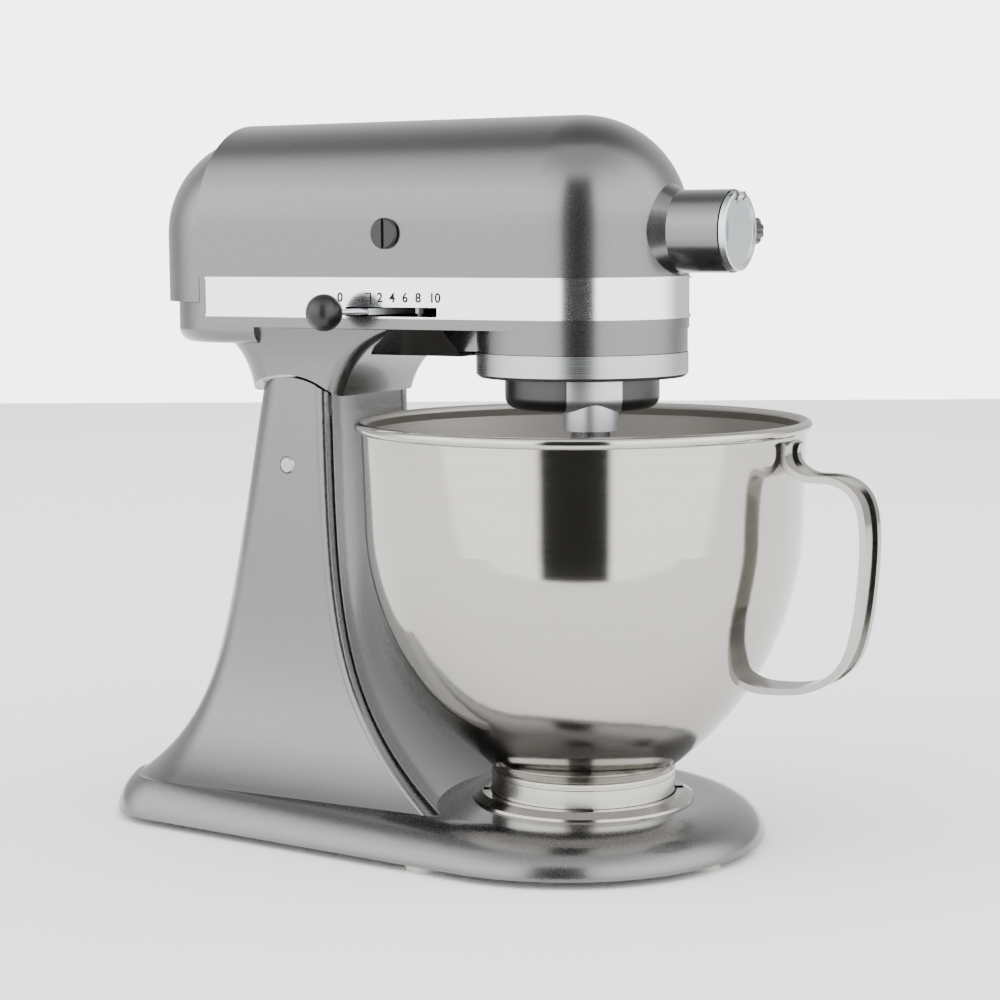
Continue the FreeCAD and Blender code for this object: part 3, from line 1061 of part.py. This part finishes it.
publish(turned("beater_washer_body", ring("beater_shaft_r", "9.5", "boss_low_z - 3.4", "boss_low_z - 0.4")),
        "beater_washer",
        beater_x, beater_y)

# Power hub
publish(turned("hub_bush_body", ring_x("hub_shaft_r + fit_gap", "hub_bush_r", "hub_bush_x + 1.2",
                                       "hub_room_x - 0.2"), "x"), "hub_bush",
        "0", "0", "hub_z")
socket = turned("hub_socket", [("bevel_module * bevel_gear_teeth / 2 - 5", "0"),
                               ("bevel_module * bevel_gear_teeth / 2 - 5", "hub_shaft_r - fit_gap / 10"),
                               ("hub_room_x + 0.3", "hub_shaft_r - fit_gap / 10"),
                               ("hub_room_x + 0.3", "hub_bore_r - 2"),
                               ("hub_room_x + 4", "hub_bore_r - 2"), ("hub_room_x + 4", "0")], "x")
square = box("hub_square", ("hub_room_x - 12", "hub_room_x + 6"), ("-3.4", "3.4"), ("-3.4", "3.4"))
publish(cut("hub_shaft_cut", socket, [square]), "hub_drive_shaft", "0", "0", "hub_z")
cover_disc = turned("hub_cover_disc", [
    ("0.4", "0"), ("0.4", "hub_cover_r"), ("hub_cover_thick", "hub_cover_r"),
    ("hub_cover_thick + 0.4", "hub_cover_r - 0.6"),
    ("hub_cover_thick + 0.4", "hub_cover_r - 2.2"), ("hub_cover_thick - 0.4", "hub_cover_r - 2.6"),
    ("hub_cover_thick - 0.4", "0")], "x")
bar = box("hub_cover_bar", ("0.4", "hub_cover_thick + 0.2"), ("-13.5", "13.5"), ("-5", "5"))
hinge_x, hinge_z = "hub_hinge_x - hub_face_x", "hub_hinge_z - hub_z"
notch = box("hub_cover_notch", ("0", "9"), ("-5.6", "5.6"), (hinge_z + " - 2.2", hinge_z + " + 9"))
arm = box("hub_cover_arm", ("0.6", "hub_cover_thick"), ("-3", "3"), (hinge_z + " - 4", hinge_z))
eye = cylinder("hub_cover_eye", "1.75", "6", hinge_x, "-3", hinge_z, "y")
hub_cover = cut("hub_cover_cut",
                fuse("hub_cover_solid", [cut("hub_cover_open", fuse("hub_cover_face", [cover_disc, bar]),
                                             [notch]), arm, eye]),
                [cylinder("hub_cover_bore", "0.9 + fit_gap", "20", hinge_x, "-10", hinge_z, "y")])
publish(hub_cover, "hub_cover", "hub_face_x", "0", "hub_z")
publish(cylinder("hub_cover_pin_body", "0.9", "10.6", "0", "0", "0", "y"), "hub_cover_pin", "hub_hinge_x",
        "-5.3", "hub_hinge_z",
        Rotation(X_AXIS, -90))
knob_turned = turned("hub_knob_turned", [
    ("0", "hub_bore_r + 1"), ("hub_screw_r", "hub_bore_r + 1"), ("hub_screw_r", "hub_knob_y"),
    ("hub_knob_r - 1", "hub_knob_y"), ("hub_knob_r", "hub_knob_y + 1"),
    ("hub_knob_r", "hub_knob_y + hub_knob_length - 1.5"), ("hub_knob_r - 1.5",
                                                           "hub_knob_y + hub_knob_length"),
    ("0", "hub_knob_y + hub_knob_length")], "y")
grips = [cylinder("knob_grip_%d" % n, "1.1", "hub_knob_length + 4",
                  "(hub_knob_r + 0.3) * cos(%d)" % (30 * n), "hub_knob_y - 2",
                  "(hub_knob_r + 0.3) * sin(%d)" % (30 * n), "y") for n in range(12)]
publish(cut("hub_knob_cut", knob_turned, grips), "hub_knob", "hub_knob_x", "0", "hub_z")

# Cord gland in the tail and the screws that close the head
gland = turned("gland_body", [("-4", "3"), ("6", "3"), ("6", "6"), ("0.2", "6"), ("0.2", "8"), ("-2", "8"),
                              ("-4", "6.5")], "x")
publish(gland, "cord_gland", "cover_x - tail_r - 0.2", "0", "tail_low_z + 11")
cover_screw = fuse("cover_screw_solid", [
    cylinder("cover_screw_stem", "2", "9", "0", "0", "0", "x"),
    cylinder("cover_screw_head", "3.8", "1.8", "-1.8", "0", "0", "x")])
publish(cover_screw, "cover_screw", cover_seat, "0", "hub_z + 14")

doc.recompute()
failed = [item.Name for item in doc.Objects if "Invalid" in item.State or "Error" in item.State]
failed += [item.Label for item in PIECES if item.Shape.isNull() or not item.Shape.isValid()]
if failed:
    raise RuntimeError("did not rebuild: %s" % ", ".join(failed))
for item in PIECES:
    item.Shape.exportStep("parts/%s.step" % item.Label)
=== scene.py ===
import bpy
import json
import math
from mathutils import Matrix, Vector


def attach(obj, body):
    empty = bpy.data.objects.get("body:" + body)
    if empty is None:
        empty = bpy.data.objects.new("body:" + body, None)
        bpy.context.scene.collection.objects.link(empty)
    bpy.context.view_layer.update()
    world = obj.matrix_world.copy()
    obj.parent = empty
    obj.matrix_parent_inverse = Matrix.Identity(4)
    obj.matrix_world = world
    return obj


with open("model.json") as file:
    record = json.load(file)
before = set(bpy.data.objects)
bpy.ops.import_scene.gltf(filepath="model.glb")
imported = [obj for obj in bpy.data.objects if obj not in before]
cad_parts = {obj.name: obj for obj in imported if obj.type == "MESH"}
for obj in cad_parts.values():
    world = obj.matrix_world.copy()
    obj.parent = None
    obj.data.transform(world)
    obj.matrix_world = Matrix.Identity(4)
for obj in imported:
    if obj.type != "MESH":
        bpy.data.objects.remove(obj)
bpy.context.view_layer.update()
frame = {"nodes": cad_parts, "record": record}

# The bowl axis stands this far forward of the row frame's origin, in millimetres
BOWL_X = 47.5
# The table lies this far below the level the heights were read from
LIFT = 4.0
MM = 0.001


def at(x, y, z):
    """A point measured from the bowl axis in millimetres, in the row frame in metres."""
    return Vector(((x + BOWL_X) * MM, y * MM, (z + LIFT) * MM))


class Graph:
    """Short-hand for chains of math nodes."""

    def __init__(self, tree):
        self.nodes, self.links = tree.nodes, tree.links

    def feed(self, socket, value):
        if isinstance(value, (int, float)):
            socket.default_value = value
        else:
            self.links.new(value, socket)

    def math(self, operation, *values):
        node = self.nodes.new("ShaderNodeMath")
        node.operation = operation
        for socket, value in zip(node.inputs, values):
            self.feed(socket, value)
        return node.outputs[0]

    def fade(self, value, low, high, at_low=0.0, at_high=1.0):
        """Smooth change from at_low to at_high as the value goes from low to high."""
        node = self.nodes.new("ShaderNodeMapRange")
        node.interpolation_type = "SMOOTHSTEP"
        for socket, entry in zip(node.inputs, (value, low, high, at_low, at_high)):
            self.feed(socket, entry)
        return node.outputs[0]


def object_place(tree):
    """The X, Y and Z of the shaded point, in the part's own frame in metres."""
    coords = tree.nodes.new("ShaderNodeTexCoord")
    split = tree.nodes.new("ShaderNodeSeparateXYZ")
    tree.links.new(coords.outputs["Object"], split.inputs[0])
    return split.outputs


def spin_coords(tree, spin):
    """Noise coordinates that run round a vertical axis: radius, and height."""
    axis_x, ring_scale, height_scale = spin
    g = Graph(tree)
    x, y, z = object_place(tree)
    off_x = g.math("SUBTRACT", x, axis_x)
    radius = g.math("SQRT", g.math("ADD", g.math("MULTIPLY", off_x, off_x), g.math("MULTIPLY", y, y)))
    join = tree.nodes.new("ShaderNodeCombineXYZ")
    g.feed(join.inputs["X"], g.math("MULTIPLY", radius, ring_scale))
    g.feed(join.inputs["Z"], g.math("MULTIPLY", z, height_scale))
    return join.outputs[0]


def stretch_coords(tree, stretch):
    """Noise coordinates drawn out along the part's own axes."""
    coords = tree.nodes.new("ShaderNodeTexCoord")
    mapping = tree.nodes.new("ShaderNodeMapping")
    mapping.inputs["Scale"].default_value = stretch
    tree.links.new(coords.outputs["Object"], mapping.inputs["Vector"])
    return mapping.outputs["Vector"]


NOISE_DETAIL = 4.0
TINT_RAMP = (0.3, 0.7)
LEAST_ROUGH = 0.02
COAT_ROUGH = 0.12
BUMP_DEPTH = 0.0003


def material(name, color, metallic, rough, grain_scale=400.0, stretch=(1, 1, 1),
             bump=0.0, coat=0.0, tint=0.06, rough_vary=0.06, spin=None):
    """A surface whose colour and roughness vary with fine noise, straight or round a vertical axis."""
    mat = bpy.data.materials.new(name)
    mat.use_nodes = True
    tree = mat.node_tree
    nodes, links = tree.nodes, tree.links
    shader = nodes["Principled BSDF"]
    noise = nodes.new("ShaderNodeTexNoise")
    noise.inputs["Scale"].default_value = grain_scale
    noise.inputs["Detail"].default_value = NOISE_DETAIL
    source = stretch_coords(tree, stretch) if spin is None else spin_coords(tree, spin)
    links.new(source, noise.inputs["Vector"])
    ramp = nodes.new("ShaderNodeValToRGB")
    shades = ([c * (1 - tint) for c in color], [min(1.0, c * (1 + tint)) for c in color])
    for stop, position, shade in zip(ramp.color_ramp.elements, TINT_RAMP, shades):
        stop.position = position
        stop.color = (*shade, 1)
    links.new(noise.outputs["Fac"], ramp.inputs["Fac"])
    links.new(ramp.outputs["Color"], shader.inputs["Base Color"])
    span = nodes.new("ShaderNodeMapRange")
    span.inputs["To Min"].default_value = max(LEAST_ROUGH, rough - rough_vary)
    span.inputs["To Max"].default_value = rough + rough_vary
    links.new(noise.outputs["Fac"], span.inputs["Value"])
    links.new(span.outputs["Result"], shader.inputs["Roughness"])
    shader.inputs["Metallic"].default_value = metallic
    shader.inputs["Coat Weight"].default_value = coat
    shader.inputs["Coat Roughness"].default_value = COAT_ROUGH
    if bump > 0:
        relief = nodes.new("ShaderNodeBump")
        relief.inputs["Strength"].default_value = bump
        relief.inputs["Distance"].default_value = BUMP_DEPTH
        links.new(noise.outputs["Fac"], relief.inputs["Height"])
        links.new(relief.outputs["Normal"], shader.inputs["Normal"])
    return mat


def dull_inside(mat, axis_x, rough):
    """Raises the roughness where a turned shell faces its own axis."""
    tree = mat.node_tree
    g = Graph(tree)
    shader = tree.nodes["Principled BSDF"]
    x, y, _ = object_place(tree)
    coords = tree.nodes.new("ShaderNodeTexCoord")
    facing = tree.nodes.new("ShaderNodeSeparateXYZ")
    tree.links.new(coords.outputs["Normal"], facing.inputs[0])
    off_x = g.math("SUBTRACT", x, axis_x)
    outward = g.math("ADD", g.math("MULTIPLY", off_x, facing.outputs["X"]),
                     g.math("MULTIPLY", y, facing.outputs["Y"]))
    inside = g.math("LESS_THAN", outward, 0.0)
    polished = shader.inputs["Roughness"].links[0].from_socket
    added = g.math("MULTIPLY", inside, rough)
    tree.links.new(g.math("ADD", polished, added), shader.inputs["Roughness"])


# The boss starts this far out from the carrier's axis, and its edges fade over this much each way
BOSS_START = 10.0 * MM
BOSS_START_FADE = 0.5 * MM
BOSS_SIDE_FADE = 0.2 * MM


def paint_boss_highlight_and_disc_shade(mat, centre, out, half_width, boss_highlight, disc_shade):
    """Two colours of one part: a painted highlight on the boss that stands out to one side of an upright
    axis, carried up the disc's rim as a light stripe where the geometry has no boss, and painted shade on
    the rest.
    """
    tree = mat.node_tree
    g = Graph(tree)
    x, y, _ = object_place(tree)
    off_x = g.math("SUBTRACT", x, centre.x)
    off_y = g.math("SUBTRACT", y, centre.y)
    along = g.math("ADD", g.math("MULTIPLY", off_x, out[0]), g.math("MULTIPLY", off_y, out[1]))
    across = g.math("SUBTRACT", g.math("MULTIPLY", off_x, out[1]), g.math("MULTIPLY", off_y, out[0]))
    beside = g.fade(g.math("ABSOLUTE", across), half_width - BOSS_SIDE_FADE, half_width + BOSS_SIDE_FADE)
    inward = g.fade(along, BOSS_START + BOSS_START_FADE, BOSS_START - BOSS_START_FADE)
    ramp = tree.nodes.new("ShaderNodeValToRGB")
    for stop, shade in zip(ramp.color_ramp.elements, (boss_highlight, disc_shade)):
        stop.color = (*shade, 1)
    tree.links.new(g.math("MAXIMUM", beside, inward), ramp.inputs["Fac"])
    tree.links.new(ramp.outputs["Color"], tree.nodes["Principled BSDF"].inputs["Base Color"])


# Materials of the part
AXIS = BOWL_X * MM
paint = material("satin_paint", (0.15, 0.15, 0.151), 1.0, 0.26, grain_scale=2600,
                 tint=0.10, coat=0.6, rough_vary=0.05)
trim = material("trim_bright", (0.93, 0.93, 0.95), 1.0, 0.15, grain_scale=120, stretch=(1, 1, 30), tint=0.03)
ring_metal = material("ring_brushed", (0.44, 0.45, 0.46), 1.0, 0.28, grain_scale=1.0,
                      spin=(AXIS, 900, 2600), tint=0.10)
bowl_metal = material("bowl_steel", (0.45, 0.437, 0.41), 1.0, 0.10, grain_scale=1.0,
                      spin=(AXIS, 900, 1500), tint=0.05, rough_vary=0.035)
satin = material("satin_metal", (0.15, 0.15, 0.152), 1.0, 0.36, grain_scale=1.0,
                 spin=(AXIS, 900, 2600), tint=0.08)
# The beater shaft stands to the near side of the bowl axis, this far round from the nose
BOSS_TURN = math.radians(-53)
BOSS_OUT = (math.cos(BOSS_TURN), math.sin(BOSS_TURN))
BOSS_HALF_WIDTH = 13.3 * MM
# Pale colour: painted highlight on the boss, also painted as a stripe up the carrier's rim; dark colour:
# painted shade on the rest of the carrier
paint_boss_highlight_and_disc_shade(satin, at(0, 0, 0), BOSS_OUT, BOSS_HALF_WIDTH, (0.62, 0.63, 0.65), (0.075, 0.075, 0.076))
bright = material("bright_metal", (0.36, 0.35, 0.33), 1.0, 0.15, grain_scale=300, tint=0.03, rough_vary=0.03)
foot_metal = material("foot_steel", (0.60, 0.585, 0.56), 1.0, 0.24, grain_scale=300,
                      tint=0.03, rough_vary=0.03)
chrome = material("chrome_lid", (0.62, 0.65, 0.67), 1.0, 0.34, grain_scale=300, tint=0.03, rough_vary=0.03)
INSIDE_ROUGH = 0.42
dull_inside(bowl_metal, AXIS, INSIDE_ROUGH)
black = material("black_plastic", (0.005, 0.005, 0.005), 0.0, 0.34, grain_scale=700, tint=0.25)
rubber = material("pale_rubber", (0.42, 0.40, 0.36), 0.0, 0.75, grain_scale=500, tint=0.06, bump=0.2)
steel = material("machined_steel", (0.3, 0.3, 0.31), 1.0, 0.28, grain_scale=500, tint=0.08)
gear = material("gear_steel", (0.2, 0.195, 0.19), 1.0, 0.38, grain_scale=500, tint=0.1)
brass = material("brass", (0.40, 0.28, 0.11), 1.0, 0.3, grain_scale=500, tint=0.08)
bronze = material("bronze", (0.30, 0.17, 0.075), 1.0, 0.36, grain_scale=500, tint=0.1)
iron = material("dark_iron", (0.08, 0.08, 0.083), 0.9, 0.5, grain_scale=500, tint=0.15, bump=0.3)
board = material("control_board", (0.14, 0.10, 0.04), 0.0, 0.6, grain_scale=300, tint=0.1)

# The record's material slots, and the few nodes with a surface of their own
BY_SLOT = {"paint": paint, "trim": trim, "brushed": ring_metal, "bright": bright, "steel": steel,
           "black": black, "rubber": rubber, "gear": gear, "brass": brass, "bronze": bronze, "iron": iron,
           "carbon": black, "board": board}
BY_NODE = {"bowl_shell": bowl_metal, "bowl_foot": foot_metal, "hub_cover": chrome, "speed_lever": chrome,
           "planetary_carrier": satin}
slot_of = {part["node"]: part["material_slot"] for part in frame["record"]["subparts"]}
for name, node in frame["nodes"].items():
    chosen = BY_NODE.get(name, BY_SLOT[slot_of[name]])
    node.data.materials.clear()
    node.data.materials.append(chosen)

# Camera solved from the photo: bearing, turn, tilt and roll in degrees, then lens and place
AZIMUTH, YAW, PITCH, ROLL = (math.radians(a) for a in (62.445, -2.046, 6.559, -0.402))
level = Vector((-math.cos(AZIMUTH + YAW), math.sin(AZIMUTH + YAW), 0))
up_axis = Vector((0, 0, 1))
right = level.cross(up_axis).normalized()
forward = level * math.cos(PITCH) - up_axis * math.sin(PITCH)
upward = right.cross(forward)
right_rolled = right * math.cos(ROLL) + upward * math.sin(ROLL)
up_rolled = upward * math.cos(ROLL) - right * math.sin(ROLL)
camera_data = bpy.data.cameras.new("camera")
SENSOR_WIDTH = 36.0
FOCAL_WIDTHS = 2.3273
camera_data.sensor_width = SENSOR_WIDTH
camera_data.lens = SENSOR_WIDTH * FOCAL_WIDTHS
camera = bpy.data.objects.new("camera", camera_data)
eye = at(524.3, -1004.8, 296.1)
basis = Matrix((right_rolled, up_rolled, -forward)).transposed().to_4x4()
camera.matrix_world = Matrix.Translation(eye) @ basis
bpy.context.scene.collection.objects.link(camera)
bpy.context.scene.camera = camera

# Printed marks on the trim band beside the speed lever: plain numbers and one tick, in millimetres
INK_FACE_Y = -52.08
INK_THICK = 0.06
INK_SPECULAR = 0.15
DIGIT_Z = 265.0
DIGIT_SIZE = 6.4
DIGIT_BOLD = 0.13
DIGITS = [("0", -106.0), ("2", -83.0), ("4", -76.0), ("6", -68.7), ("8", -61.3), ("10", -52.0)]
ink = material("printed_ink", (0.006, 0.0058, 0.0058), 0.0, 0.6, grain_scale=900, tint=0.3)
ink.node_tree.nodes["Principled BSDF"].inputs["Specular IOR Level"].default_value = INK_SPECULAR


def as_mesh(name, source):
    """The mesh of a text or curve object, as its own object in the same place."""
    bpy.context.view_layer.update()
    mesh = bpy.data.meshes.new_from_object(source.evaluated_get(bpy.context.evaluated_depsgraph_get()))
    mesh.transform(source.matrix_world)
    bpy.data.objects.remove(source)
    piece = bpy.data.objects.new(name, mesh)
    bpy.context.scene.collection.objects.link(piece)
    return piece


def finish_piece(piece, surface, body):
    """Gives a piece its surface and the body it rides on."""
    piece.data.materials.clear()
    piece.data.materials.append(surface)
    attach(piece, body)


for digit, x in DIGITS:
    text = bpy.data.curves.new("dial_text", "FONT")
    text.body = digit
    text.size = DIGIT_SIZE * MM
    text.offset = DIGIT_BOLD * MM
    text.extrude = INK_THICK * MM
    text.align_x = "CENTER"
    text.align_y = "CENTER"
    label = bpy.data.objects.new("dial_text", text)
    label.location = at(x, INK_FACE_Y, DIGIT_Z)
    label.rotation_euler = (math.radians(90), 0, 0)
    bpy.context.scene.collection.objects.link(label)
    finish_piece(as_mesh("dial_" + digit, label), ink, "head")

# The tick's outline: a stem down to the slot and a short bar at its head
TICK = [(-88.6, 262.0), (-88.0, 262.0), (-88.0, 267.5), (-91.5, 267.5), (-91.5, 266.9), (-88.6, 266.9)]
front_y, back_y = INK_FACE_Y - INK_THICK, INK_FACE_Y + INK_THICK
tick_mesh = bpy.data.meshes.new("dial_tick")
tick_points = [at(x, y, z) for y in (front_y, back_y) for x, z in TICK]
count = len(TICK)
tick_faces = [tuple(range(count)), tuple(range(2 * count - 1, count - 1, -1))]
tick_faces += [(n, n + count, (n + 1) % count + count, (n + 1) % count) for n in range(count)]
tick_mesh.from_pydata(tick_points, [], tick_faces)
tick = bpy.data.objects.new("dial_tick", tick_mesh)
bpy.context.scene.collection.objects.link(tick)
finish_piece(tick, ink, "head")

# Pale table top, cut off in front so the bowl mirrors the dark gap behind the camera
TOWARD = Vector((eye.x - BOWL_X * MM, eye.y, 0)).normalized()
ASIDE = Vector((-TOWARD.y, TOWARD.x, 0))
TABLE_FRONT, TABLE_BACK, TABLE_SIDE = 0.47, 3.0, 2.5
floor_mesh = bpy.data.meshes.new("floor")
corners = [(TABLE_FRONT, -TABLE_SIDE), (TABLE_FRONT, TABLE_SIDE)]
corners += [(-TABLE_BACK, TABLE_SIDE), (-TABLE_BACK, -TABLE_SIDE)]
floor_mesh.from_pydata([TOWARD * near + ASIDE * side for near, side in corners], [], [(0, 1, 2, 3)])
floor = bpy.data.objects.new("floor", floor_mesh)
bpy.context.scene.collection.objects.link(floor)
floor_mesh.materials.append(material("floor_white", (0.93, 0.93, 0.93), 0.0, 0.8, grain_scale=3, tint=0.01))

# Studio surroundings: bright walls to both sides of the camera, a dark gap at it, a dim back and ceiling
world = bpy.data.worlds.new("studio")
world.use_nodes = True
bpy.context.scene.world = world
sky = Graph(world.node_tree)
direction = sky.nodes.new("ShaderNodeTexCoord").outputs["Generated"]
axes = sky.nodes.new("ShaderNodeSeparateXYZ")
sky.links.new(direction, axes.inputs[0])
sky_x, sky_y, sky_z = axes.outputs
toward = sky.math("ADD", sky.math("MULTIPLY", sky_x, TOWARD.x), sky.math("MULTIPLY", sky_y, TOWARD.y))
aside = sky.math("ADD", sky.math("MULTIPLY", sky_x, ASIDE.x), sky.math("MULTIPLY", sky_y, ASIDE.y))
bearing = sky.math("MULTIPLY", sky.math("ARCTAN2", aside, toward), 180 / math.pi)
height = sky.math("MULTIPLY", sky.math("ARCSINE", sky_z), 180 / math.pi)
# Bearings from the camera and heights above the horizon, in degrees, and the share of light left there
GAP_MIDDLE, GAP_HALF, GAP_SOFT, GAP_SHARE = -4.0, 15.5, 5.0, 0.015
GAP_TOP = (40, 60)
BACK_TURN, BACK_SHARE = (85, 125), 0.25
CEILING_RISE, CEILING_SHARE = (26, 72), 0.36
LOW_RISE, LOW_SHARE = (-5, 22), 0.78
off_gap = sky.math("ABSOLUTE", sky.math("SUBTRACT", bearing, GAP_MIDDLE))
gap = sky.fade(off_gap, GAP_HALF, GAP_HALF + GAP_SOFT, GAP_SHARE, 1.0)
gap = sky.math("MAXIMUM", gap, sky.fade(height, *GAP_TOP))
back = sky.fade(sky.math("ABSOLUTE", bearing), *BACK_TURN, 1.0, BACK_SHARE)
ceiling = sky.fade(height, *CEILING_RISE, 1.0, CEILING_SHARE)
low_wall = sky.fade(height, *LOW_RISE, LOW_SHARE, 1.0)
glow = sky.math("MULTIPLY", sky.math("MULTIPLY", gap, back), sky.math("MULTIPLY", ceiling, low_wall))
STUDIO_LEVEL = 4.2
BACKDROP_LEVEL = 5.0
background = sky.nodes["Background"]
seen = sky.nodes.new("ShaderNodeLightPath").outputs["Is Camera Ray"]
strength = sky.nodes.new("ShaderNodeMix")
sky.feed(strength.inputs[0], seen)
sky.feed(strength.inputs[2], sky.math("MULTIPLY", glow, STUDIO_LEVEL))
sky.feed(strength.inputs[3], BACKDROP_LEVEL)
sky.links.new(strength.outputs[0], background.inputs["Strength"])
background.inputs["Color"].default_value = (1.0, 1.0, 1.0, 1)

# A wide lamp overhead lights the table and is kept out of the reflections
lamp_data = bpy.data.lights.new("table_lamp", "AREA")
LAMP_SIZE, LAMP_POWER, LAMP_HEIGHT = 5.0, 110, 2.2
lamp_data.size = LAMP_SIZE
lamp_data.energy = LAMP_POWER
lamp = bpy.data.objects.new("table_lamp", lamp_data)
lamp.location = (0, 0, LAMP_HEIGHT)
lamp.visible_glossy = False
bpy.context.scene.collection.objects.link(lamp)
